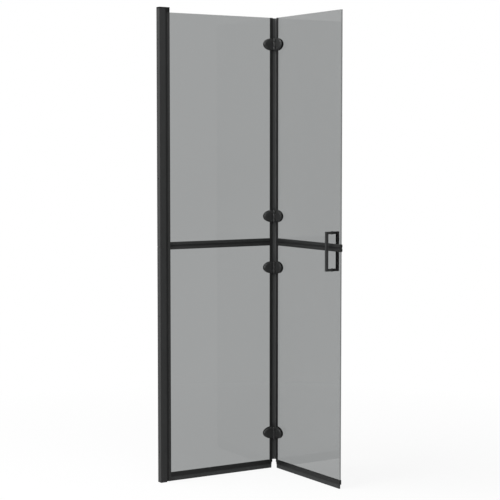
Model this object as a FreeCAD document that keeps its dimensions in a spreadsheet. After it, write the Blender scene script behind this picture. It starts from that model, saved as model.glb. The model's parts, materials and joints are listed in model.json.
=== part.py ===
import FreeCAD, Part
import Sketcher
import math
import os
import re

# Folding walk-in shower screen, in millimetres.
# x runs along the fixed panel from the wall, y towards the outside, z up from the floor.
# The origin is on the wall, at floor level, in the middle of the fixed glass.
# The folding panel is drawn at a right angle to the fixed one, towards the inside.

SIZES = {
    # Whole screen
    "screen_height": 1900,
    "cap_cover": 19,
    "glass_drop": 1,
    "glass_thickness": 6,
    "fixed_edge": 534,
    "door_width": 462,
    "pin_offset": 10.5,
    "edge_gap": 3,
    "fit_gap": 0.3,
    "turn_fit": 0.05,
    # Wall channel and the profile that slides in it
    "channel_depth": 27,
    "channel_width": 25.5,
    "channel_wall": 2,
    "channel_base": 2.5,
    "wall_hole_radius": 2.75,
    "wall_hole_inset": 122,
    "joint_bevel": 1.5,
    "cap_thickness": 6,
    "foot_thickness": 2,
    "slide_fit": 0.2,
    "glass_channel_back": 10,
    "glass_channel_web": 2,
    "glass_channel_wall": 1.8,
    "glass_channel_lip": 10,
    "glass_channel_reach": 46.4,
    "glass_channel_lip_width": 24.5,
    "glass_seat": 24,
    "gasket_start": 33,
    "gasket_lip": 1,
    # Width adjustment
    "clamp_inset": 5,
    "clamp_end_inset": 300,
    "clamp_joint_inset": 250,
    "clamp_shank_radius": 2,
    "clamp_hole_radius": 2.15,
    "clamp_head_radius": 3.6,
    "clamp_head_height": 2.4,
    "clamp_slot_length": 18,
    "clamp_slot_height": 4.6,
    "clamp_nut_width": 7,
    "clamp_nut_height": 2.9,
    # Middle rail
    "mid_rail_height": 30,
    "mid_rail_web": 4,
    "rail_wall": 1.3,
    "liner_thickness": 0.4,
    "mid_rail_bead": 1.2,
    "mid_rail_slope": 4.5,
    "mid_rail_groove": 8,
    "mid_rail_groove_floor": 5,
    "end_cap_thickness": 1.2,
    # Bottom rail and sweep
    "bottom_rail_top": 35,
    "bottom_rail_floor": 1.7,
    "bottom_rail_setback": 2,
    "sweep_height": 17,
    "sweep_setback": 3,
    "sweep_thickness": 6.4,
    "sweep_lip_thickness": 4.8,
    "sweep_tongue_thickness": 3,
    "sweep_tongue_height": 7.5,
    # Fold seal
    "clip_foot": 24,
    "clip_reach": 12,
    "clip_lip_reach": 4,
    "clip_leg": 1.6,
    "clip_wall": 1.2,
    "web_thickness": 1,
    "web_centre": 5,
    "web_seat": 17,
    "web_bottom": 34,
    "web_drop": 1,
    # Hinges
    "hinge_top_inset": 109,
    "hinge_mid_offset": 107,
    "hinge_bottom_level": 150,
    "leaf_length": 46,
    "leaf_height": 51,
    "leaf_thickness": 6,
    "leaf_rim": 5,
    "leaf_rim_depth": 4.2,
    "leaf_shoulder": 2,
    "leaf_shoulder_depth": 1.4,
    "leaf_root": 2.6,
    "back_plate_length": 43,
    "back_plate_thickness": 5,
    "back_plate_rim": 3,
    "back_plate_bevel": 2.6,
    "back_plate_start": 8,
    "hinge_gasket": 2,
    "gasket_inset": 2.5,
    "barrel_radius": 5.5,
    "barrel_gap": 0.6,
    "barrel_inset": 1.5,
    "door_knuckle": 18,
    "neck_thickness": 4.6,
    "neck_offset": 0.6,
    "neck_margin": 1,
    "pin_radius": 2.5,
    "pin_head_radius": 4.6,
    "pin_head_height": 1.6,
    "bush_wall": 1.05,
    "washer_thickness": 1,
    "screw_along": 22,
    "screw_pitch": 24,
    "screw_radius": 2.5,
    "screw_head_radius": 4.4,
    "screw_head_depth": 2.4,
    "screw_socket_radius": 1.8,
    "screw_socket_depth": 1.6,
    "thread_depth": 4.4,
    "glass_hole_radius": 5,
    "sleeve_fit": 0.1,
    # Handle
    "handle_edge_inset": 59.5,
    "handle_drop": 16,
    "handle_length": 157,
    "handle_bar": 10,
    "handle_reach": 27.5,
    "handle_washer": 1,
    "handle_washer_radius": 6.5,
    "stud_radius": 3,
    "stud_depth": 10,
}

# Places that follow from the sizes
GLASS_CHANNEL_TOP = "(screen_height - cap_cover)"
GLASS_TOP = f"({GLASS_CHANNEL_TOP} - glass_drop)"
PIN_X = "(fixed_edge + edge_gap)"
PIN_Y = "(-glass_thickness / 2 - pin_offset)"
FACE_IN = "pin_offset"
FACE_OUT = "(pin_offset + glass_thickness)"
MIDDLE = "(pin_offset + glass_thickness / 2)"
SLOT_HALF = "(glass_thickness / 2 + liner_thickness)"
RAIL_HALF = f"({SLOT_HALF} + rail_wall)"
MID_SLOT = "(mid_rail_web / 2)"
SWEEP_GROOVE_TOP = "(sweep_height + sweep_tongue_height + fit_gap)"
BOTTOM_SLOT = f"({SWEEP_GROOVE_TOP} + bottom_rail_floor)"
LOWER_GLASS_BOTTOM = f"({BOTTOM_SLOT} + liner_thickness)"
MID_LEVEL = f"(({GLASS_TOP} + {LOWER_GLASS_BOTTOM}) / 2)"
LOWER_GLASS_TOP = f"({MID_LEVEL} - {MID_SLOT} - liner_thickness)"
UPPER_GLASS_BOTTOM = f"({MID_LEVEL} + {MID_SLOT} + liner_thickness)"
CHANNEL_TOP = "(screen_height - cap_thickness)"
CHANNEL_JOINT = "(screen_height / 2)"
GLASS_CHANNEL_BOTTOM = "(foot_thickness + fit_gap)"
INNER_HALF = "(channel_width / 2 - channel_wall - slide_fit)"
INNER_SEAT = f"({INNER_HALF} - glass_channel_wall)"
CLAMP_X = "(channel_depth - clamp_inset)"
CLIP_FRONT = "(edge_gap - clip_wall)"
CLIP_END = "(edge_gap + clip_reach)"
CLIP_LIP_END = "(edge_gap + clip_lip_reach)"
RAIL_START = f"({CLIP_END} + fit_gap)"
BOTTOM_RAIL_START = "(edge_gap + bottom_rail_setback)"
FIXED_RAIL_END = f"({PIN_X} - glass_channel_reach - gasket_lip - fit_gap)"
DOOR_GLASS_END = "(edge_gap + door_width)"
DOOR_CAP_END = f"({DOOR_GLASS_END} + end_cap_thickness)"
DOOR_SWEEP_END = f"({DOOR_GLASS_END} - sweep_setback)"
LEAF_BACK = f"({FACE_IN} - hinge_gasket)"
LEAF_FRONT = f"({LEAF_BACK} - leaf_thickness)"
LEAF_START = "(barrel_radius + barrel_gap)"
PLATE_BASE = f"({FACE_OUT} + hinge_gasket)"
PLATE_TOP = f"({PLATE_BASE} + back_plate_thickness)"
BARREL_HALF = "(leaf_height / 2 - barrel_inset)"
NECK_HALF = "(leaf_height / 2 - leaf_rim - neck_margin)"
WASHER_SPACE = "(washer_thickness + 2 * turn_fit)"
HANDLE_ALONG = f"({DOOR_GLASS_END} - handle_edge_inset)"
HANDLE_BOTTOM = f"({MID_LEVEL} - handle_drop - handle_length / 2)"
HANDLE_TOP = f"({HANDLE_BOTTOM} + handle_length)"
HANDLE_LEVELS = [f"({HANDLE_TOP} - handle_bar / 2)", f"({HANDLE_BOTTOM} + handle_bar / 2)"]
HINGE_LEVELS = [
    f"({GLASS_TOP} - hinge_top_inset)",
    f"({MID_LEVEL} + hinge_mid_offset)",
    f"({MID_LEVEL} - hinge_mid_offset)",
    "hinge_bottom_level",
]
UPPER_HINGES = HINGE_LEVELS[:2]
LOWER_HINGES = HINGE_LEVELS[2:]
WALL_HOLE_PITCH = f"(({CHANNEL_TOP} - 2 * wall_hole_inset) / 3)"
WALL_HOLE_LEVELS = [f"(wall_hole_inset + {step} * {WALL_HOLE_PITCH})" for step in range(4)]
CLAMP_LEVELS = [
    "clamp_end_inset",
    f"({CHANNEL_JOINT} - clamp_joint_inset)",
    f"({CHANNEL_JOINT} + clamp_joint_inset)",
    f"({CHANNEL_TOP} - clamp_end_inset)",
]
PAST = "1"

doc = FreeCAD.newDocument("ShowerScreen")
sheet = doc.addObject("Spreadsheet::Sheet", "Sizes")
for row, (size_name, value) in enumerate(SIZES.items(), 1):
    sheet.set(f"A{row}", size_name)
    sheet.set(f"B{row}", str(value))
    sheet.setAlias(f"B{row}", size_name)
doc.recompute()

pieces = []


# Helpers that tie shapes to the sheet
def formula(text):
    """The sheet's own expression for a text that names sizes by their plain names."""

    def in_sheet(found):
        word = found.group(0)
        return "Sizes." + word if word in SIZES else word

    return re.sub(r"[a-z_]+", in_sheet, text)


def bind(obj, **properties):
    """Ties properties of an object to sizes."""
    for name, text in properties.items():
        obj.setExpression(name, formula(text))


def put(obj, x="0", y="0", z="0"):
    """Ties an object's place to sizes."""
    for axis, text in zip("xyz", (x, y, z)):
        obj.setExpression(f"Placement.Base.{axis}", formula(text))
    return obj


def piece(label, obj):
    """Names a finished sub-part."""
    obj.Label = label
    pieces.append(obj)
    return obj


def block(x0, x1, y0, y1, z0, z1):
    box = doc.addObject("Part::Box", "Block")
    bind(box, Length=f"({x1}) - ({x0})", Width=f"({y1}) - ({y0})", Height=f"({z1}) - ({z0})")
    return put(box, x0, y0, z0)


def upright_rod(x, y, z0, z1, radius):
    rod = doc.addObject("Part::Cylinder", "Rod")
    bind(rod, Radius=radius, Height=f"({z1}) - ({z0})")
    return put(rod, x, y, z0)


def upright_cone(x, y, z0, z1, radius0, radius1):
    cone = doc.addObject("Part::Cone", "Cone")
    bind(cone, Radius1=radius0, Radius2=radius1, Height=f"({z1}) - ({z0})")
    return put(cone, x, y, z0)


def group(shapes):
    compound = doc.addObject("Part::Compound", "Group")
    compound.Links = shapes
    return compound


def fuse(shapes):
    union = doc.addObject("Part::MultiFuse", "Fuse")
    union.Shapes = shapes
    return union


def cut(base, tools):
    difference = doc.addObject("Part::Cut", "Cut")
    difference.Base = base
    difference.Tool = tools[0] if len(tools) == 1 else group(tools)
    return difference


def common(base, tool):
    overlap = doc.addObject("Part::Common", "Common")
    overlap.Base = base
    overlap.Tool = tool
    return overlap


def origin_plane(body, role):
    return next(plane for plane in body.Origin.OriginFeatures if plane.Role == role)


def extrusion(plane_role, corners, length):
    """A body padded from a closed outline whose corners are tied to sizes."""
    body = doc.addObject("PartDesign::Body", "Body")
    sketch = body.newObject("Sketcher::SketchObject", "Outline")
    sketch.AttachmentSupport = [(origin_plane(body, plane_role), "")]
    sketch.MapMode = "FlatFace"
    count = len(corners)
    turns = [2 * math.pi * index / count for index in range(count)]
    ring = [FreeCAD.Vector(math.cos(turn), math.sin(turn), 0) for turn in turns]
    for index in range(count):
        sketch.addGeometry(Part.LineSegment(ring[index], ring[(index + 1) % count]))
    for index in range(count):
        sketch.addConstraint(Sketcher.Constraint("Coincident", index, 2, (index + 1) % count, 1))
    for index, corner in enumerate(corners):
        for kind, start, text in zip(("DistanceX", "DistanceY"), ring[index], corner):
            number = sketch.addConstraint(Sketcher.Constraint(kind, -1, 1, index, 1, start))
            sketch.setExpression(f"Constraints[{number}]", formula(text))
    pad = body.newObject("PartDesign::Pad", "Pad")
    pad.Profile = sketch
    bind(pad, Length=length)
    sketch.Visibility = False
    return body


def mirrored(half_outline, middle):
    """A closed outline from its outer half, given as distances from the middle and levels."""
    near = [(f"{middle} + {half}", level) for half, level in half_outline]
    far = [(f"{middle} - {half}", level) for half, level in reversed(half_outline)]
    return near + far


class Panel:
    """One panel of the screen, drawn from the hinge pins.

    Places are along the glass from the pins, through it towards the outside, and up.
    """

    def __init__(self, name, is_door, glass_end, rail_end, sweep_end):
        self.name = name
        self.is_door = is_door
        self.glass_end = glass_end
        self.rail_end = rail_end
        self.sweep_end = sweep_end
        up = FreeCAD.Vector(0, 0, 1)
        outside = FreeCAD.Vector(1, 0, 0) if is_door else FreeCAD.Vector(0, 1, 0)
        self.turn = FreeCAD.Rotation(up.cross(outside), up, outside, "XYZ")

    def box(self, along0, along1, through0, through1, z0, z1):
        if self.is_door:
            x0, x1 = f"{PIN_X} + {through0}", f"{PIN_X} + {through1}"
            y0, y1 = f"{PIN_Y} - {along1}", f"{PIN_Y} - {along0}"
        else:
            x0, x1 = f"{PIN_X} - {along1}", f"{PIN_X} - {along0}"
            y0, y1 = f"{PIN_Y} + {through0}", f"{PIN_Y} + {through1}"
        return block(x0, x1, y0, y1, z0, z1)

    def put(self, obj, along, through, level):
        """Sets an object that was drawn flat upright on the glass."""
        obj.Placement = FreeCAD.Placement(FreeCAD.Vector(), self.turn)
        if self.is_door:
            return put(obj, f"{PIN_X} + {through}", f"{PIN_Y} - {along}", level)
        return put(obj, f"{PIN_X} - {along}", f"{PIN_Y} + {through}", level)

    def rod(self, along, level, through0, through1, radius):
        rod = doc.addObject("Part::Cylinder", "CrossRod")
        bind(rod, Radius=radius, Height=f"({through1}) - ({through0})")
        return self.put(rod, along, through0, level)

    def cone(self, along, level, through0, through1, radius0, radius1):
        cone = doc.addObject("Part::Cone", "CrossCone")
        bind(cone, Radius1=radius0, Radius2=radius1, Height=f"({through1}) - ({through0})")
        return self.put(cone, along, through0, level)

    def tube(self, along, level, through0, through1, radius, bore):
        outer = self.rod(along, level, through0, through1, radius)
        inner = self.rod(along, level, f"{through0} - {PAST}", f"{through1} + {PAST}", bore)
        return cut(outer, [inner])

    def oval(self, level, sections):
        """A solid through ovals round the pin's axis: each has its place, length and half height."""
        rings = []
        for through, length, half_height in sections:
            ring = doc.addObject("Part::Ellipse", "Oval")
            bind(ring, MajorRadius=length, MinorRadius=half_height)
            rings.append(self.put(ring, "0", through, level))
        loft = doc.addObject("Part::Loft", "OvalSolid")
        loft.Sections = rings
        loft.Solid = True
        loft.Ruled = True
        return loft

    def half_oval(self, level, sections, start):
        """The side of such a solid that lies on this panel, past a start."""
        _, length, half_height = sections[len(sections) // 2]
        ends = [through for through, _, _ in sections]
        side = self.box(
            start, f"({length} + {PAST})", f"({ends[0]} - {PAST})", f"({ends[-1]} + {PAST})",
            f"{level} - {half_height} - {PAST}", f"{level} + {half_height} + {PAST}",
        )
        return common(self.oval(level, sections), side)

    def rail(self, outline, along0, along1):
        """A profile drawn across the glass and run along it."""
        length = f"({along1}) - ({along0})"
        if self.is_door:
            return put(extrusion("XZ_Plane", outline, length), PIN_X, f"{PIN_Y} - {along0}")
        return put(extrusion("YZ_Plane", outline, length), f"{PIN_X} - {along1}", PIN_Y)

    def post(self, outline, z0, z1):
        """A profile drawn in plan and run upwards."""
        if self.is_door:
            plan = [(through, f"-({along})") for along, through in outline]
        else:
            plan = [(f"-({along})", through) for along, through in outline]
        return put(extrusion("XY_Plane", plan, f"({z1}) - ({z0})"), PIN_X, PIN_Y, z0)

    def screw_places(self, level):
        return [f"{level} + screw_pitch / 2", f"{level} - screw_pitch / 2"]


fixed = Panel("fixed", False, f"({PIN_X} - glass_seat)", FIXED_RAIL_END, FIXED_RAIL_END)
door = Panel("door", True, DOOR_GLASS_END, DOOR_GLASS_END, DOOR_SWEEP_END)
panels = (fixed, door)


# Wall side
def wall_channels():
    """The wall profile, in two lengths that meet half way up."""
    half = "channel_width / 2"
    seat = f"({half} - channel_wall)"
    outline = [
        ("0", f"-{half}"),
        ("channel_depth", f"-{half}"),
        ("channel_depth", f"-{seat}"),
        ("channel_base", f"-{seat}"),
        ("channel_base", seat),
        ("channel_depth", seat),
        ("channel_depth", half),
        ("0", half),
    ]
    lower_end = f"({CHANNEL_JOINT} - fit_gap / 2)"
    upper_start = f"({CHANNEL_JOINT} + fit_gap / 2)"
    for where, z0, z1, wall_levels, clamp_levels in (
        ("lower", "foot_thickness", lower_end, WALL_HOLE_LEVELS[:2], CLAMP_LEVELS[:2]),
        ("upper", upper_start, CHANNEL_TOP, WALL_HOLE_LEVELS[2:], CLAMP_LEVELS[2:]),
    ):
        profile = put(extrusion("XY_Plane", outline, f"{z1} - {z0}"), z=z0)
        cuts = [wall_hole(level) for level in wall_levels]
        cuts += [clamp_rod(level, seat, half, "clamp_hole_radius", PAST) for level in clamp_levels]
        cuts.append(joint_groove())
        piece(f"wall_channel_{where}", cut(profile, cuts))


def wall_hole(level):
    hole = doc.addObject("Part::Cylinder", "WallHole")
    hole.Placement.Rotation = door.turn
    bind(hole, Radius="wall_hole_radius", Height=f"channel_base + 2 * {PAST}")
    return put(hole, f"-{PAST}", "0", level)


def joint_groove():
    """The bevels of both lengths across the back of the profile, where they meet."""
    outline = [
        (f"-{PAST}", f"{CHANNEL_JOINT} + joint_bevel + {PAST}"),
        ("joint_bevel", CHANNEL_JOINT),
        (f"-{PAST}", f"{CHANNEL_JOINT} - joint_bevel - {PAST}"),
    ]
    groove = extrusion("XZ_Plane", outline, f"channel_width + 2 * {PAST}")
    return put(groove, y=f"(channel_width / 2 + {PAST})")


def clamp_rod(level, y0, y1, radius, past="0"):
    """A rod across the channel's outer flange, at a clamping screw."""
    rod = doc.addObject("Part::Cylinder", "ClampRod")
    rod.Placement.Rotation = fixed.turn
    bind(rod, Radius=radius, Height=f"({y1}) - ({y0}) + 2 * {past}")
    return put(rod, CLAMP_X, f"{y0} - {past}", level)


def channel_top_cap():
    half = "channel_width / 2"
    lip = "glass_channel_lip_width / 2"
    under = f"{GLASS_CHANNEL_TOP} + fit_gap"
    plate = block("0", "channel_depth", f"-{half}", half, CHANNEL_TOP, "screen_height")
    nose = block("channel_depth", "glass_channel_reach", f"-{lip}", lip, under, "screen_height")
    plug = block(
        "channel_base + fit_gap", "channel_depth", f"-{INNER_HALF}", INNER_HALF, under, CHANNEL_TOP
    )
    piece("channel_top_cap", fuse([plate, nose, plug]))


def channel_bottom_cap():
    half = "channel_width / 2"
    piece("channel_bottom_cap", block("0", "channel_depth", f"-{half}", half, "0", "foot_thickness"))


def clamp_screws():
    half = "channel_width / 2"
    tip = "(glass_thickness / 2 + 2 * fit_gap)"
    screws = []
    for level in CLAMP_LEVELS:
        shank = clamp_rod(level, tip, half, "clamp_shank_radius")
        head = clamp_rod(level, half, f"({half} + clamp_head_height)", "clamp_head_radius")
        screws.append(fuse([shank, head]))
    piece("clamp_screws", group(screws))


def clamp_nuts():
    half = "clamp_nut_width / 2"
    outer = f"({INNER_SEAT} - turn_fit)"
    inner = f"({outer} - clamp_nut_height)"
    nuts = []
    for level in CLAMP_LEVELS:
        body = block(
            f"{CLAMP_X} - {half}", f"{CLAMP_X} + {half}", inner, outer,
            f"{level} - {half}", f"{level} + {half}",
        )
        bore = clamp_rod(level, inner, outer, "clamp_shank_radius + turn_fit", PAST)
        nuts.append(cut(body, [bore]))
    piece("clamp_nuts", group(nuts))


# Fixed panel's profile at the wall
def glass_channel():
    back = "glass_channel_back"
    lip_start = "(glass_channel_reach - glass_channel_lip)"
    lip = "(glass_channel_lip_width / 2)"
    half_outline = [
        (INNER_SEAT, f"{back} + glass_channel_web"),
        (INNER_SEAT, "glass_channel_reach"),
        (lip, "glass_channel_reach"),
        (lip, lip_start),
        (INNER_HALF, lip_start),
        (INNER_HALF, back),
    ]
    outline = [(x, y) for y, x in mirrored(half_outline, "0")]
    height = f"{GLASS_CHANNEL_TOP} - {GLASS_CHANNEL_BOTTOM}"
    profile = put(extrusion("XY_Plane", outline, height), z=GLASS_CHANNEL_BOTTOM)
    slots = [
        block(
            f"{CLAMP_X} - clamp_slot_length / 2", f"{CLAMP_X} + clamp_slot_length / 2",
            f"{INNER_SEAT} - {PAST}", f"{INNER_HALF} + {PAST}",
            f"{level} - clamp_slot_height / 2", f"{level} + clamp_slot_height / 2",
        )
        for level in CLAMP_LEVELS
    ]
    piece("glass_channel", cut(profile, slots))


def glazing_gaskets():
    near = "glass_thickness / 2"
    end = "glass_channel_reach + gasket_lip"
    strips = [
        block("gasket_start", end, y0, y1, GLASS_CHANNEL_BOTTOM, GLASS_TOP)
        for y0, y1 in ((f"-{INNER_SEAT}", f"-{near}"), (near, INNER_SEAT))
    ]
    piece("glazing_gaskets", group(strips))


# What both panels have
def panes(panel):
    both_panes = (
        ("upper", UPPER_GLASS_BOTTOM, GLASS_TOP, UPPER_HINGES, HANDLE_LEVELS[0]),
        ("lower", LOWER_GLASS_BOTTOM, LOWER_GLASS_TOP, LOWER_HINGES, HANDLE_LEVELS[1]),
    )
    for where, z0, z1, hinges, handle_level in both_panes:
        sheet_glass = panel.box("edge_gap", panel.glass_end, FACE_IN, FACE_OUT, z0, z1)
        places = [("screw_along", level) for hinge in hinges for level in panel.screw_places(hinge)]
        if panel.is_door:
            places.append((HANDLE_ALONG, handle_level))
        holes = [
            panel.rod(
                along, level, f"({FACE_IN} - {PAST})", f"({FACE_OUT} + {PAST})", "glass_hole_radius"
            )
            for along, level in places
        ]
        piece(f"{panel.name}_{where}_glass", cut(sheet_glass, holes))


def mid_rail_face():
    """The outer side of the middle rail's section, two beads and a groove, from top to bottom."""
    bead = f"({RAIL_HALF} + mid_rail_bead)"
    steps = [
        (RAIL_HALF, "mid_rail_height / 2"),
        (bead, "(mid_rail_height / 2 - mid_rail_slope)"),
        (bead, "mid_rail_groove / 2"),
        (RAIL_HALF, "mid_rail_groove_floor / 2"),
    ]
    upper = [(half, f"{MID_LEVEL} + {step}") for half, step in steps]
    lower = [(half, f"{MID_LEVEL} - {step}") for half, step in reversed(steps)]
    return upper + lower


def mid_rail(panel):
    top = f"{MID_LEVEL} + mid_rail_height / 2"
    bottom = f"{MID_LEVEL} - mid_rail_height / 2"
    half_outline = [(SLOT_HALF, f"{MID_LEVEL} + {MID_SLOT}"), (SLOT_HALF, top)]
    half_outline += mid_rail_face()
    half_outline += [(SLOT_HALF, bottom), (SLOT_HALF, f"{MID_LEVEL} - {MID_SLOT}")]
    rail = panel.rail(mirrored(half_outline, MIDDLE), RAIL_START, panel.rail_end)
    piece(f"{panel.name}_mid_rail", rail)


def liner(panel, floor, rim, glass_edge):
    """A thin rubber channel between a pane's edge and the slot that holds it."""
    half_outline = [
        ("glass_thickness / 2", glass_edge),
        ("glass_thickness / 2", rim),
        (SLOT_HALF, rim),
        (SLOT_HALF, floor),
    ]
    return panel.rail(mirrored(half_outline, MIDDLE), RAIL_START, panel.rail_end)


def mid_rail_liners(panel):
    upper = liner(
        panel, f"{MID_LEVEL} + {MID_SLOT}", f"{MID_LEVEL} + mid_rail_height / 2", UPPER_GLASS_BOTTOM
    )
    lower = liner(
        panel, f"{MID_LEVEL} - {MID_SLOT}", f"{MID_LEVEL} - mid_rail_height / 2", LOWER_GLASS_TOP
    )
    piece(f"{panel.name}_mid_rail_liners", group([upper, lower]))


def bottom_rail(panel):
    groove = "(sweep_tongue_thickness / 2 + turn_fit)"
    half_outline = [
        (SLOT_HALF, BOTTOM_SLOT),
        (SLOT_HALF, "bottom_rail_top"),
        (RAIL_HALF, "bottom_rail_top"),
        (RAIL_HALF, "sweep_height"),
        (groove, "sweep_height"),
        (groove, SWEEP_GROOVE_TOP),
    ]
    rail = panel.rail(mirrored(half_outline, MIDDLE), BOTTOM_RAIL_START, panel.rail_end)
    notch = panel.box(
        f"(edge_gap - {PAST})", RAIL_START, f"({MIDDLE} - {RAIL_HALF} - {PAST})",
        f"({MIDDLE} + {RAIL_HALF} + {PAST})", "clip_foot", f"bottom_rail_top + {PAST}",
    )
    piece(f"{panel.name}_bottom_rail", cut(rail, [notch]))


def bottom_rail_liner(panel):
    piece(
        f"{panel.name}_bottom_rail_liner",
        liner(panel, BOTTOM_SLOT, "bottom_rail_top", LOWER_GLASS_BOTTOM),
    )


def bottom_sweep(panel):
    tongue = "sweep_tongue_thickness / 2"
    half_outline = [
        (tongue, "sweep_height + sweep_tongue_height"),
        (tongue, "sweep_height"),
        ("sweep_thickness / 2", "sweep_height"),
        ("sweep_lip_thickness / 2", "0"),
    ]
    sweep = panel.rail(mirrored(half_outline, MIDDLE), BOTTOM_RAIL_START, panel.sweep_end)
    piece(f"{panel.name}_bottom_sweep", sweep)


def seal_clip(panel):
    inner = f"({FACE_IN} - clip_leg)"
    outer = f"({FACE_OUT} + clip_leg)"
    outline = [
        (CLIP_FRONT, inner),
        (CLIP_END, inner),
        (CLIP_END, FACE_IN),
        ("edge_gap", FACE_IN),
        ("edge_gap", FACE_OUT),
        (CLIP_LIP_END, FACE_OUT),
        (CLIP_LIP_END, outer),
        (CLIP_FRONT, outer),
    ]
    clip = panel.post(outline, "clip_foot + fit_gap", GLASS_TOP)
    piece(f"{panel.name}_seal_clip", clip)


def fold_seal_web():
    """A soft bow round the outside of the fold, from one clip to the other."""
    x, y = f"{PIN_X} + web_centre", f"{PIN_Y} + web_centre"
    radius = f"(sqrt(({CLIP_FRONT} + web_centre)^2 + (web_seat - web_centre)^2))"
    top = f"({GLASS_TOP} - web_drop)"
    outer = upright_rod(x, y, "web_bottom", top, radius)
    inner = upright_rod(x, y, f"web_bottom - {PAST}", f"{top} + {PAST}", f"{radius} - web_thickness")
    reach = f"(web_centre + {radius} + {PAST})"
    outside = block(
        f"{PIN_X} - {CLIP_FRONT}", f"{PIN_X} + {reach}", f"{PIN_Y} - {CLIP_FRONT}", f"{PIN_Y} + {reach}",
        f"web_bottom - {PAST}", f"{top} + {PAST}",
    )
    piece("fold_seal_web", common(cut(outer, [inner]), outside))


# Hinges
def knuckle_spans(panel, level, outer_end):
    """Where this panel's knuckles lie along the pin, up to an outer end on the fixed panel."""
    half = "door_knuckle / 2"
    if panel.is_door:
        return [(f"{level} - {half}", f"{level} + {half}")]
    inner = f"({half} + {WASHER_SPACE})"
    return [
        (f"{level} - {outer_end}", f"{level} - {inner}"),
        (f"{level} + {inner}", f"{level} + {outer_end}"),
    ]


def hinge_leaf(panel, number, level):
    half_height = "leaf_height / 2"
    sections = [
        (LEAF_FRONT, "leaf_length - leaf_rim", f"{half_height} - leaf_rim"),
        (
            f"({LEAF_FRONT} + leaf_shoulder_depth)", "leaf_length - leaf_shoulder",
            f"{half_height} - leaf_shoulder",
        ),
        (f"({LEAF_FRONT} + leaf_rim_depth)", "leaf_length", half_height),
        (LEAF_BACK, "leaf_length", half_height),
    ]
    solids = [panel.half_oval(level, sections, LEAF_START)]
    bore = "pin_radius + turn_fit"
    if panel.is_door:
        bore = "pin_radius + bush_wall + 2 * turn_fit"
    for z0, z1 in knuckle_spans(panel, level, BARREL_HALF):
        solids.append(upright_rod(PIN_X, PIN_Y, z0, z1, "barrel_radius"))
    neck_end = f"({LEAF_START} + leaf_root)"
    for z0, z1 in knuckle_spans(panel, level, NECK_HALF):
        solids.append(
            panel.box("0", neck_end, "neck_offset", "(neck_offset + neck_thickness)", z0, z1)
        )
    span = f"({BARREL_HALF} + {PAST})"
    holes = [upright_rod(PIN_X, PIN_Y, f"{level} - {span}", f"{level} + {span}", bore)]
    for screw_level in panel.screw_places(level):
        holes.append(
            panel.rod(
                "screw_along", screw_level, f"({LEAF_BACK} - thread_depth)",
                f"({LEAF_BACK} + {PAST})", "screw_radius + turn_fit",
            )
        )
    piece(f"hinge_{number}_{panel.name}_leaf", cut(fuse(solids), holes))


def back_plate(panel, number, level):
    half_height = "leaf_height / 2"
    sections = [
        (PLATE_BASE, "back_plate_length", half_height),
        (f"({PLATE_TOP} - back_plate_bevel)", "back_plate_length", half_height),
        (PLATE_TOP, "back_plate_length - back_plate_rim", f"{half_height} - back_plate_rim"),
    ]
    plate = panel.half_oval(level, sections, "back_plate_start")
    holes = []
    for screw_level in panel.screw_places(level):
        shaft = panel.rod(
            "screw_along", screw_level, f"({PLATE_BASE} - {PAST})", f"({PLATE_TOP} + {PAST})",
            "screw_radius + sleeve_fit",
        )
        countersink = panel.cone(
            "screw_along", screw_level, f"({PLATE_TOP} - screw_head_depth)", PLATE_TOP,
            "screw_radius + sleeve_fit", "screw_head_radius + sleeve_fit",
        )
        holes.append(fuse([shaft, countersink]))
    piece(f"hinge_{number}_{panel.name}_back_plate", cut(plate, holes))


def hinge_gaskets(panel):
    half_height = "leaf_height / 2 - gasket_inset"
    gaskets = []
    for level in HINGE_LEVELS:
        for through0, through1, length in (
            (LEAF_BACK, FACE_IN, "leaf_length - gasket_inset"),
            (FACE_OUT, PLATE_BASE, "back_plate_length - gasket_inset"),
        ):
            sections = [(through0, length, half_height), (through1, length, half_height)]
            pad = panel.half_oval(level, sections, RAIL_START)
            holes = [
                panel.rod(
                    "screw_along", screw_level, f"({through0} - {PAST})", f"({through1} + {PAST})",
                    "screw_radius + sleeve_fit",
                )
                for screw_level in panel.screw_places(level)
            ]
            gaskets.append(cut(pad, holes))
    piece(f"{panel.name}_hinge_gaskets", group(gaskets))


def hinge_sleeves(panel):
    sleeves = [
        panel.tube(
            "screw_along", screw_level, FACE_IN, FACE_OUT,
            "glass_hole_radius - sleeve_fit", "screw_radius + sleeve_fit",
        )
        for level in HINGE_LEVELS
        for screw_level in panel.screw_places(level)
    ]
    piece(f"{panel.name}_hinge_sleeves", group(sleeves))


def hinge_screws(panel):
    head_start = f"({PLATE_TOP} - screw_head_depth)"
    tip = f"({LEAF_BACK} - thread_depth + fit_gap)"
    screws = []
    for level in HINGE_LEVELS:
        for screw_level in panel.screw_places(level):
            shank = panel.rod("screw_along", screw_level, tip, head_start, "screw_radius")
            head = panel.cone(
                "screw_along", screw_level, head_start, PLATE_TOP, "screw_radius", "screw_head_radius"
            )
            socket = doc.addObject("Part::Prism", "Socket")
            socket.Polygon = 6
            bind(socket, Circumradius="screw_socket_radius", Height=f"screw_socket_depth + {PAST}")
            panel.put(socket, "screw_along", f"({PLATE_TOP} - screw_socket_depth)", screw_level)
            screws.append(cut(fuse([shank, head]), [socket]))
    piece(f"{panel.name}_hinge_screws", group(screws))


def hinge_pin(number, level):
    bottom = f"({level} - {BARREL_HALF})"
    top = f"({level} + {BARREL_HALF})"
    lower_end = f"({bottom} - pin_head_height)"
    upper_end = f"({top} + pin_head_height)"
    small = "pin_head_radius - pin_head_height"
    shaft = upright_rod(PIN_X, PIN_Y, lower_end, upper_end, "pin_radius")
    foot = upright_cone(PIN_X, PIN_Y, lower_end, bottom, small, "pin_head_radius")
    head = upright_cone(PIN_X, PIN_Y, top, upper_end, "pin_head_radius", small)
    piece(f"hinge_{number}_pin", fuse([shaft, foot, head]))


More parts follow.
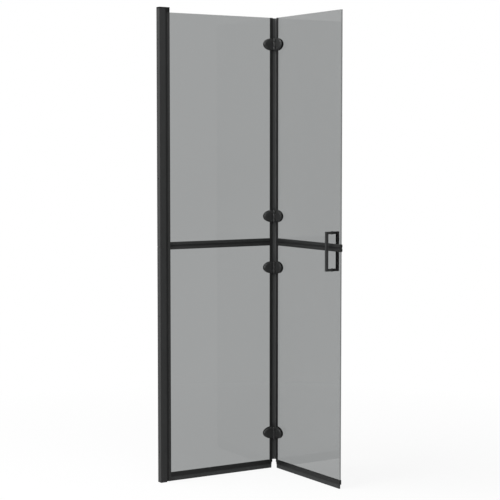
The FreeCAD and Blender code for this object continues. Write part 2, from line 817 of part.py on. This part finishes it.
def upright_tube(z0, z1, radius, bore):
    """A ring on the hinge pin."""
    inner = upright_rod(PIN_X, PIN_Y, f"{z0} - {PAST}", f"{z1} + {PAST}", bore)
    return cut(upright_rod(PIN_X, PIN_Y, z0, z1, radius), [inner])


def hinge_washers():
    near = "(door_knuckle / 2 + turn_fit)"
    far = f"({near} + washer_thickness)"
    bore = "pin_radius + turn_fit"
    washers = []
    for level in HINGE_LEVELS:
        for z0, z1 in ((f"{level} - {far}", f"{level} - {near}"), (f"{level} + {near}", f"{level} + {far}")):
            washers.append(upright_tube(z0, z1, "barrel_radius", bore))
    piece("hinge_washers", group(washers))


def hinge_bushes():
    bushes = []
    for level in HINGE_LEVELS:
        z0, z1 = knuckle_spans(door, level, BARREL_HALF)[0]
        outer = "pin_radius + bush_wall + turn_fit"
        bushes.append(upright_tube(z0, z1, outer, "pin_radius + turn_fit"))
    piece("hinge_bushes", group(bushes))


# Folding panel's own pieces
def mid_rail_end_cap():
    cap = door.rail(mirrored(mid_rail_face(), MIDDLE), DOOR_GLASS_END, DOOR_CAP_END)
    piece("door_mid_rail_end_cap", cap)


def bottom_rail_end_cap():
    half_outline = [(RAIL_HALF, "bottom_rail_top"), (RAIL_HALF, "sweep_height")]
    cap = door.rail(mirrored(half_outline, MIDDLE), DOOR_GLASS_END, DOOR_CAP_END)
    piece("door_bottom_rail_end_cap", cap)


def handles():
    for label, sign, face in (("handle_inside", "-", FACE_IN), ("handle_outside", "+", FACE_OUT)):
        grip_face = f"({MIDDLE} {sign} (handle_reach + handle_bar / 2))"
        grip_back = f"({MIDDLE} {sign} (handle_reach - handle_bar / 2))"
        foot = f"({face} {sign} handle_washer)"
        outline = [
            (grip_face, HANDLE_BOTTOM),
            (foot, HANDLE_BOTTOM),
            (foot, f"{HANDLE_BOTTOM} + handle_bar"),
            (grip_back, f"{HANDLE_BOTTOM} + handle_bar"),
            (grip_back, f"{HANDLE_TOP} - handle_bar"),
            (foot, f"{HANDLE_TOP} - handle_bar"),
            (foot, HANDLE_TOP),
            (grip_face, HANDLE_TOP),
        ]
        loop = door.rail(outline, f"({HANDLE_ALONG} - handle_bar / 2)", f"({HANDLE_ALONG} + handle_bar / 2)")
        bores = [
            handle_rod(level, sign, face, "stud_radius + turn_fit", "fit_gap") for level in HANDLE_LEVELS
        ]
        piece(label, cut(loop, bores))


def handle_rod(level, sign, face, radius, past):
    """The part of a stud's line that lies in one handle's foot."""
    depth = f"(stud_depth + {past})"
    if sign == "-":
        return door.rod(HANDLE_ALONG, level, f"({face} - handle_washer - {depth})", face, radius)
    return door.rod(HANDLE_ALONG, level, face, f"({face} + handle_washer + {depth})", radius)


def handle_fixings():
    reach = "(handle_washer + stud_depth)"
    studs = []
    sleeves = []
    washers = []
    for level in HANDLE_LEVELS:
        studs.append(
            door.rod(HANDLE_ALONG, level, f"({FACE_IN} - {reach})", f"({FACE_OUT} + {reach})", "stud_radius")
        )
        sleeves.append(
            door.tube(
                HANDLE_ALONG, level, FACE_IN, FACE_OUT,
                "glass_hole_radius - sleeve_fit", "stud_radius + sleeve_fit",
            )
        )
        for through0, through1 in (
            (f"({FACE_IN} - handle_washer)", FACE_IN),
            (FACE_OUT, f"({FACE_OUT} + handle_washer)"),
        ):
            washers.append(
                door.tube(
                    HANDLE_ALONG, level, through0, through1,
                    "handle_washer_radius", "stud_radius + sleeve_fit",
                )
            )
    piece("handle_studs", group(studs))
    piece("handle_sleeves", group(sleeves))
    piece("handle_washers", group(washers))


# The whole screen
wall_channels()
channel_top_cap()
channel_bottom_cap()
clamp_screws()
clamp_nuts()
glass_channel()
glazing_gaskets()
for panel in panels:
    panes(panel)
    mid_rail(panel)
    mid_rail_liners(panel)
    bottom_rail(panel)
    bottom_rail_liner(panel)
    bottom_sweep(panel)
    seal_clip(panel)
    for number, level in enumerate(HINGE_LEVELS, 1):
        hinge_leaf(panel, number, level)
        back_plate(panel, number, level)
    hinge_gaskets(panel)
    hinge_sleeves(panel)
    hinge_screws(panel)
fold_seal_web()
for number, level in enumerate(HINGE_LEVELS, 1):
    hinge_pin(number, level)
hinge_washers()
hinge_bushes()
mid_rail_end_cap()
bottom_rail_end_cap()
handles()
handle_fixings()
doc.recompute()

# Every object is sound before anything is written
for obj in doc.Objects:
    if "Invalid" in obj.State or "Error" in obj.State:
        raise RuntimeError(f"{obj.Label} failed: {obj.State}")
for obj in pieces:
    if obj.Shape.isNull() or not obj.Shape.isValid():
        raise RuntimeError(f"{obj.Label} has no valid shape")
os.makedirs("parts", exist_ok=True)
for obj in pieces:
    obj.Shape.exportStep(f"parts/{obj.Label}.step")
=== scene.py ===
import json
import math

import bpy
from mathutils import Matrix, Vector


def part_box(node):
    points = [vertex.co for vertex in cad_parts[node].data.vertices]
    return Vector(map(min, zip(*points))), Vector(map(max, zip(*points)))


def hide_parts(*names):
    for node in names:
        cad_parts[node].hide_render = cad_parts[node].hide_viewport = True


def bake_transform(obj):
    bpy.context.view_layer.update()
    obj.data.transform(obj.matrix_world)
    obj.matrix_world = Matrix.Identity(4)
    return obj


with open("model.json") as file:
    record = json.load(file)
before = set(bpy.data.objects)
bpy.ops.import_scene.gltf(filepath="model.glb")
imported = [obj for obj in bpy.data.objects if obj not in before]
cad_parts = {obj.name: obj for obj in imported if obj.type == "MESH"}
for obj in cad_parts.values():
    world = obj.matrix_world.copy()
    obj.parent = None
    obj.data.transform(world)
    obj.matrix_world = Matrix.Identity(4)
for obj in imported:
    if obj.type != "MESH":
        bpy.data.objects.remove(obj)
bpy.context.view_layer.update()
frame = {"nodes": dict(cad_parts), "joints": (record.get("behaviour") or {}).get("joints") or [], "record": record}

# Folding walk-in shower screen, in metres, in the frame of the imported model:
# x runs along the fixed panel from the wall, y towards the outside, z up from the floor.

nodes = frame["nodes"]
slot_of_node = {part["node"]: part["material_slot"] for part in frame["record"]["subparts"]}

MM = 0.001
WHITE = (1, 1, 1, 1)


def emptied_tree(owner):
    """The node tree of a material or of the world, with nothing in it."""
    owner.use_nodes = True
    tree = owner.node_tree
    tree.nodes.clear()
    return tree


# Parts of a material
SHADE_NOISE_FROM = 0.3
SHADE_NOISE_TO = 0.7
GRAIN_STRENGTH = 0.25


def new_material(name):
    """An empty node material with its Principled shader, joined to the output."""
    material = bpy.data.materials.new(name)
    tree = emptied_tree(material)
    output = tree.nodes.new("ShaderNodeOutputMaterial")
    shader = tree.nodes.new("ShaderNodeBsdfPrincipled")
    tree.links.new(shader.outputs["BSDF"], output.inputs["Surface"])
    return material, tree, shader


def object_noise(tree, scale, detail, stretch=(1, 1, 1)):
    """Noise fixed to the object, as a value from 0 to 1."""
    place = tree.nodes.new("ShaderNodeTexCoord")
    mapping = tree.nodes.new("ShaderNodeMapping")
    mapping.inputs["Scale"].default_value = stretch
    noise = tree.nodes.new("ShaderNodeTexNoise")
    noise.inputs["Scale"].default_value = scale
    noise.inputs["Detail"].default_value = detail
    tree.links.new(place.outputs["Object"], mapping.inputs["Vector"])
    tree.links.new(mapping.outputs["Vector"], noise.inputs["Vector"])
    return noise.outputs["Fac"]


def grey(level, cool=1.0):
    """A grey whose green and blue are raised over its red where cool is above 1."""
    return (level, level * cool, level * cool, 1)


def vary_shade(tree, shader, noise, level, spread, cool=1.0):
    """Lets the base colour wander between two near greys."""
    ramp = tree.nodes.new("ShaderNodeValToRGB")
    ramp.color_ramp.elements[0].position = SHADE_NOISE_FROM
    ramp.color_ramp.elements[0].color = grey(level * (1 - spread), cool)
    ramp.color_ramp.elements[1].position = SHADE_NOISE_TO
    ramp.color_ramp.elements[1].color = grey(level * (1 + spread), cool)
    tree.links.new(noise, ramp.inputs["Fac"])
    tree.links.new(ramp.outputs["Color"], shader.inputs["Base Color"])


def vary_roughness(tree, shader, noise, roughness, spread):
    """Lets the roughness wander by the spread to either side."""
    band = tree.nodes.new("ShaderNodeMapRange")
    band.inputs["To Min"].default_value = roughness - spread
    band.inputs["To Max"].default_value = roughness + spread
    tree.links.new(noise, band.inputs["Value"])
    tree.links.new(band.outputs["Result"], shader.inputs["Roughness"])


def grain(tree, shader, noise, height):
    """A fine relief of the surface."""
    bump = tree.nodes.new("ShaderNodeBump")
    bump.inputs["Strength"].default_value = GRAIN_STRENGTH
    bump.inputs["Distance"].default_value = height
    tree.links.new(noise, bump.inputs["Height"])
    tree.links.new(bump.outputs["Normal"], shader.inputs["Normal"])


# Materials
def coated_metal(name, level, roughness, specular):
    """Powder coat: a fine even grain on a black ground."""
    material, tree, shader = new_material(name)
    shader.inputs["Specular IOR Level"].default_value = specular
    fine = object_noise(tree, scale=2600, detail=2)
    slow = object_noise(tree, scale=14, detail=3)
    vary_shade(tree, shader, slow, level, spread=0.06, cool=1.03)
    vary_roughness(tree, shader, fine, roughness, spread=0.05)
    grain(tree, shader, fine, height=0.04 * MM)
    return material


def moulded_plastic(name, level, roughness, specular):
    """A matt moulding with the soft mottle of a spark-worn tool."""
    material, tree, shader = new_material(name)
    shader.inputs["Specular IOR Level"].default_value = specular
    fine = object_noise(tree, scale=1400, detail=4)
    vary_shade(tree, shader, fine, level, spread=0.07, cool=1.03)
    vary_roughness(tree, shader, fine, roughness, spread=0.06)
    grain(tree, shader, fine, height=0.03 * MM)
    return material


def extruded_rubber(name, level, roughness, specular):
    """A soft seal, faintly drawn along its length."""
    material, tree, shader = new_material(name)
    shader.inputs["Specular IOR Level"].default_value = specular
    drawn = object_noise(tree, scale=900, detail=2, stretch=(1, 1, 0.02))
    vary_shade(tree, shader, drawn, level, spread=0.05, cool=1.04)
    vary_roughness(tree, shader, drawn, roughness, spread=0.04)
    grain(tree, shader, drawn, height=0.02 * MM)
    return material


def blackened_steel(name, level, roughness):
    """Dark screws and pins."""
    material, tree, shader = new_material(name)
    shader.inputs["Metallic"].default_value = 1.0
    turned = object_noise(tree, scale=1800, detail=2, stretch=(1, 1, 6))
    vary_shade(tree, shader, turned, level, spread=0.1)
    vary_roughness(tree, shader, turned, roughness, spread=0.05)
    return material


def smoked_glass(name, level, mirror_tint):
    """Toughened glass with a grey body tint, very slightly uneven."""
    material, tree, shader = new_material(name)
    shader.inputs["Transmission Weight"].default_value = 1.0
    shader.inputs["IOR"].default_value = 1.5
    shader.inputs["Roughness"].default_value = 0.0
    shader.inputs["Specular Tint"].default_value = grey(mirror_tint)
    slow = object_noise(tree, scale=1.3, detail=1)
    vary_shade(tree, shader, slow, level, spread=0.015, cool=1.025)
    return material


# The finish of each node: that of its slot, unless it has one of its own or, for the bottom rails, a painted shade
finishes = {
    "black_aluminium": coated_metal("BlackAluminium", level=0.019, roughness=0.42, specular=0.2),
    "black_hardware": coated_metal("BlackHardware", level=0.026, roughness=0.28, specular=0.14),
    "black_plastic": moulded_plastic("BlackPlastic", level=0.005, roughness=0.6, specular=0.06),
    "black_rubber": extruded_rubber("BlackRubber", level=0.034, roughness=0.62, specular=0.2),
    "steel": blackened_steel("BlackenedSteel", level=0.07, roughness=0.38),
    "smoked_glass": smoked_glass("SmokedGlass", level=0.335, mirror_tint=0.25),
}
# Painted shade: the bottom rails' darker grey stands in for the shade and the dim floor reflection low down by the
# floor.
bottom_rail_painted_shade = coated_metal("FootAluminiumPaintedShade", level=0.013, roughness=0.42, specular=0.14)
seal_plastic = moulded_plastic("SealPlastic", level=0.016, roughness=0.5, specular=0.15)
# Painted light: the fold seal's web gets a grey well above the rubber's, standing in for the light that the shaded
# fold keeps from it.
seal_web_painted_light = extruded_rubber("SealWeb", level=0.060, roughness=0.55, specular=0.25)
handle_coat = coated_metal("HandleCoat", level=0.030, roughness=0.36, specular=0.2)
cap_plastic = moulded_plastic("CapPlastic", level=0.010, roughness=0.6, specular=0.08)
rail_end_plastic = moulded_plastic("RailEndPlastic", level=0.016, roughness=0.55, specular=0.12)
own_finish_or_painted_shade = {
    "channel_top_cap": cap_plastic,
    "handle_inside": handle_coat,
    "handle_outside": handle_coat,
    "fixed_bottom_rail": bottom_rail_painted_shade,
    "door_bottom_rail": bottom_rail_painted_shade,
    "fixed_seal_clip": seal_plastic,
    "door_seal_clip": seal_plastic,
    "door_mid_rail_end_cap": rail_end_plastic,
    "door_bottom_rail_end_cap": rail_end_plastic,
}

for name, node in nodes.items():
    node.data.materials.clear()
    node.data.materials.append(own_finish_or_painted_shade.get(name, finishes[slot_of_node[name]]))


# Faces of a node with a second finish or a painted shade
EDGE_FACE_NORMAL = 0.5
GLASS_CHANNEL_LIP = 10.2 * MM
MID_RAIL_GROOVE = 8 * MM


def finish_faces(node, finish, chosen):
    """Gives a second finish, or a painted shade, to those faces of a node that a test chooses."""
    node.data.materials.append(finish)
    for face in node.data.polygons:
        if chosen(face):
            face.material_index = 1


def ground_edges(node, finish):
    """Gives the narrow faces of a pane the pale look of ground glass."""
    low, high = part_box(node.name)
    through = min(range(3), key=lambda axis: high[axis] - low[axis])
    finish_faces(node, finish, lambda face: abs(face.normal[through]) < EDGE_FACE_NORMAL)


def matt_slide_painted_shade(node, finish):
    """Paints shade on the part of the inner profile behind its lip as a darker grey, and makes it more matt."""
    lip_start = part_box(node.name)[1].x - GLASS_CHANNEL_LIP
    finish_faces(node, finish, lambda face: face.center.x < lip_start)


def groove_painted_shade(node, finish):
    """Paints shade on the groove along a middle rail, between its two beads, as a darker grey."""
    low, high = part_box(node.name)
    middle_level = (low.z + high.z) / 2
    half_groove = MID_RAIL_GROOVE / 2
    finish_faces(node, finish, lambda face: abs(face.center.z - middle_level) < half_groove)


edge_finish = moulded_plastic("GroundGlassEdge", level=0.22, roughness=0.5, specular=0.3)
for name, node in nodes.items():
    if slot_of_node[name] == "smoked_glass":
        ground_edges(node, edge_finish)
# Painted shade: the recessed slide part of the inner profile gets a darker grey for the shade in the recess; it is
# also rougher.
slide_painted_shade = coated_metal("SlidePaintedShade", level=0.010, roughness=0.5, specular=0.15)
matt_slide_painted_shade(nodes["glass_channel"], slide_painted_shade)
# Painted shade: the groove between the beads of the middle rails gets a darker grey for the shade in it.
groove_shade_finish = coated_metal("RailGroovePaintedShade", level=0.013, roughness=0.6, specular=0.12)
for name in ("fixed_mid_rail", "door_mid_rail"):
    groove_painted_shade(nodes[name], groove_shade_finish)


# Small rounded edges, which catch the light on real profiles and castings
CORNER_JOIN = 0.001 * MM
ROUND_SEGMENTS = 2
EDGE_ANGLE = 32
EDGE_ROUND = {
    "wall_channel_lower": 0.4 * MM,
    "wall_channel_upper": 0.4 * MM,
    "glass_channel": 0.4 * MM,
    "fixed_mid_rail": 0.3 * MM,
    "door_mid_rail": 0.3 * MM,
    "fixed_bottom_rail": 0.3 * MM,
    "door_bottom_rail": 0.3 * MM,
    "channel_top_cap": 0.5 * MM,
    "handle_inside": 0.8 * MM,
    "handle_outside": 0.8 * MM,
}
LEAF_ANGLE = 22
LEAF_ROUND = 0.9 * MM


def soften(node, width, least_angle):
    """Rounds the edges of a node at which its faces turn by more than an angle in degrees."""
    weld = node.modifiers.new("Joined corners", "WELD")
    weld.merge_threshold = CORNER_JOIN
    bevel = node.modifiers.new("Rounded edges", "BEVEL")
    bevel.width = width
    bevel.segments = ROUND_SEGMENTS
    bevel.limit_method = "ANGLE"
    bevel.angle_limit = math.radians(least_angle)
    bevel.harden_normals = True
    bevel.loop_slide = False


for name, width in EDGE_ROUND.items():
    soften(nodes[name], width, EDGE_ANGLE)
for name, node in nodes.items():
    if name.endswith("_leaf"):
        soften(node, LEAF_ROUND, LEAF_ANGLE)


# Soft web of the fold seal
WEB_CENTRE_OFFSET = 5 * MM
WEB_THICKNESS = 1 * MM
WEB_STEPS = 24
WEB_SHARP_ANGLE = 40


def prism(name, outline, bottom, top):
    """A strip whose outline runs out along one side and back along the other."""
    count = len(outline)
    half = count // 2
    points = [(x, y, level) for level in (bottom, top) for x, y in outline]
    sides = [(i, (i + 1) % count, count + (i + 1) % count, count + i) for i in range(count)]
    ends = []
    for i in range(half - 1):
        near, far = i, count - 1 - i
        ends.append((near, far, far - 1, near + 1))
        ends.append((count + near, count + near + 1, count + far - 1, count + far))
    mesh = bpy.data.meshes.new(name)
    mesh.from_pydata(points, [], sides + ends)
    mesh.validate()
    mesh.shade_smooth()
    mesh.set_sharp_from_angle(angle=math.radians(WEB_SHARP_ANGLE))
    strip = bpy.data.objects.new(name, mesh)
    bpy.context.scene.collection.objects.link(strip)
    return strip


def fold_seal_web():
    """A bow round the outside of the hinge pins, from one clip to the other."""
    low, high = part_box("fold_seal_web")
    pin = next(joint["pos_m"] for joint in frame["joints"] if joint["name"] == "fold")
    centre = Vector((pin[0] + WEB_CENTRE_OFFSET, pin[1] + WEB_CENTRE_OFFSET))
    radius = high.x - centre.x
    first = math.acos((low.x - centre.x) / radius)
    last = math.asin((low.y - centre.y) / radius)
    angles = [first + (last - first) * step / WEB_STEPS for step in range(WEB_STEPS + 1)]
    rays = [Vector((math.cos(angle), math.sin(angle))) for angle in angles]
    outline = [centre + ray * radius for ray in rays]
    outline += [centre + ray * (radius - WEB_THICKNESS) for ray in reversed(rays)]
    web = prism("FoldSealWeb", outline, low.z, high.z)
    web.data.materials.append(seal_web_painted_light)
    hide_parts("fold_seal_web")
    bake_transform(web)


fold_seal_web()


# Studio
WORLD_AMBIENT = 0.4
FLOOR_SIZE = 60.0
FLOOR_DROP = 0.5 * MM
FLOOR_PLACE = (0.3, -0.25, -FLOOR_DROP)
FLOOR_SHADE = 0.75
FLOOR_GLOW_NEAR = 0.9
FLOOR_SHADOW_RADIUS = 0.9
FLOOR_PLAIN_RADIUS = 2.6
LAMP_TARGET = (0.3, -0.2, 0.95)
CAMERA_LENS = 108.08
CAMERA_SHIFT = -0.012
CAMERA_REACH = 200
CAMERA_PLACE = (-2.8279, -5.2724, 1.3584)
CAMERA_HEADING = 31.693
CAMERA_TILT = 3.795


def seen_directly(tree):
    """1 for camera, mirrored and transmitted rays, else 0."""
    path = tree.nodes.new("ShaderNodeLightPath")
    value = path.outputs["Is Camera Ray"]
    for kind in ("Is Glossy Ray", "Is Transmission Ray"):
        larger = tree.nodes.new("ShaderNodeMath")
        larger.operation = "MAXIMUM"
        tree.links.new(value, larger.inputs[0])
        tree.links.new(path.outputs[kind], larger.inputs[1])
        value = larger.outputs["Value"]
    return value


def background():
    """White for what the camera sees directly, mirrored or through glass, and softer as a light."""
    world = bpy.data.worlds.new("Studio")
    bpy.context.scene.world = world
    tree = emptied_tree(world)
    output = tree.nodes.new("ShaderNodeOutputWorld")
    seen = tree.nodes.new("ShaderNodeBackground")
    seen.inputs["Color"].default_value = WHITE
    seen.inputs["Strength"].default_value = 1.0
    light = tree.nodes.new("ShaderNodeBackground")
    light.inputs["Color"].default_value = WHITE
    light.inputs["Strength"].default_value = WORLD_AMBIENT
    mix = tree.nodes.new("ShaderNodeMixShader")
    tree.links.new(seen_directly(tree), mix.inputs["Fac"])
    tree.links.new(light.outputs["Background"], mix.inputs[1])
    tree.links.new(seen.outputs["Background"], mix.inputs[2])
    tree.links.new(mix.outputs["Shader"], output.inputs["Surface"])


def floor_paint():
    """A matt floor that is seen as plain white, with a little of its shading left near the object."""
    material = bpy.data.materials.new("WhiteFloor")
    tree = emptied_tree(material)
    output = tree.nodes.new("ShaderNodeOutputMaterial")
    matt = tree.nodes.new("ShaderNodeBsdfDiffuse")
    matt.inputs["Color"].default_value = grey(FLOOR_SHADE)
    glow = tree.nodes.new("ShaderNodeEmission")
    glow.inputs["Strength"].default_value = 1.0
    place = tree.nodes.new("ShaderNodeTexCoord")
    distance = tree.nodes.new("ShaderNodeVectorMath")
    distance.operation = "LENGTH"
    fade = tree.nodes.new("ShaderNodeMapRange")
    fade.inputs["From Min"].default_value = FLOOR_SHADOW_RADIUS
    fade.inputs["From Max"].default_value = FLOOR_PLAIN_RADIUS
    fade.inputs["To Min"].default_value = FLOOR_GLOW_NEAR
    share = tree.nodes.new("ShaderNodeMath")
    share.operation = "MULTIPLY"
    mix = tree.nodes.new("ShaderNodeMixShader")
    tree.links.new(place.outputs["Object"], distance.inputs[0])
    tree.links.new(distance.outputs["Value"], fade.inputs["Value"])
    tree.links.new(fade.outputs["Result"], share.inputs[1])
    tree.links.new(seen_directly(tree), share.inputs[0])
    tree.links.new(share.outputs["Value"], mix.inputs["Fac"])
    tree.links.new(matt.outputs["BSDF"], mix.inputs[1])
    tree.links.new(glow.outputs["Emission"], mix.inputs[2])
    tree.links.new(mix.outputs["Shader"], output.inputs["Surface"])
    return material


def floor():
    """A wide plane just under the object, which is not part of it."""
    bpy.ops.mesh.primitive_plane_add(size=FLOOR_SIZE, location=FLOOR_PLACE)
    plane = bpy.context.object
    plane.name = "Floor"
    plane.data.materials.append(floor_paint())


def softbox(name, place, size, power):
    """A square lamp that looks at the object and is not seen directly or through the glass."""
    lamp = bpy.data.lights.new(name, "AREA")
    lamp.size = size
    lamp.energy = power
    box = bpy.data.objects.new(name, lamp)
    box.visible_camera = False
    box.visible_transmission = False
    box.location = place
    sight = Vector(LAMP_TARGET) - Vector(place)
    box.rotation_euler = sight.to_track_quat("-Z", "Y").to_euler()
    bpy.context.scene.collection.objects.link(box)


def camera():
    """The photograph's view: from the inside of the fold, a little above the middle."""
    lens = bpy.data.cameras.new("Camera")
    lens.lens = CAMERA_LENS
    lens.shift_y = CAMERA_SHIFT
    lens.clip_end = CAMERA_REACH
    eye = bpy.data.objects.new("Camera", lens)
    eye.location = CAMERA_PLACE
    heading = math.radians(CAMERA_HEADING)
    tilt = math.radians(CAMERA_TILT)
    eye.rotation_euler = (math.pi / 2 - tilt, 0, -heading)
    bpy.context.scene.collection.objects.link(eye)
    bpy.context.scene.camera = eye


background()
floor()
softbox("Left", place=(-3.2, -1.0, 2.5), size=1.6, power=95)
softbox("Front", place=(-0.4, -4.0, 2.6), size=2.4, power=42)
softbox("Top", place=(-1.2, 0.4, 4.0), size=2.0, power=100)
camera()
bpy.context.scene.view_settings.view_transform = "Standard"
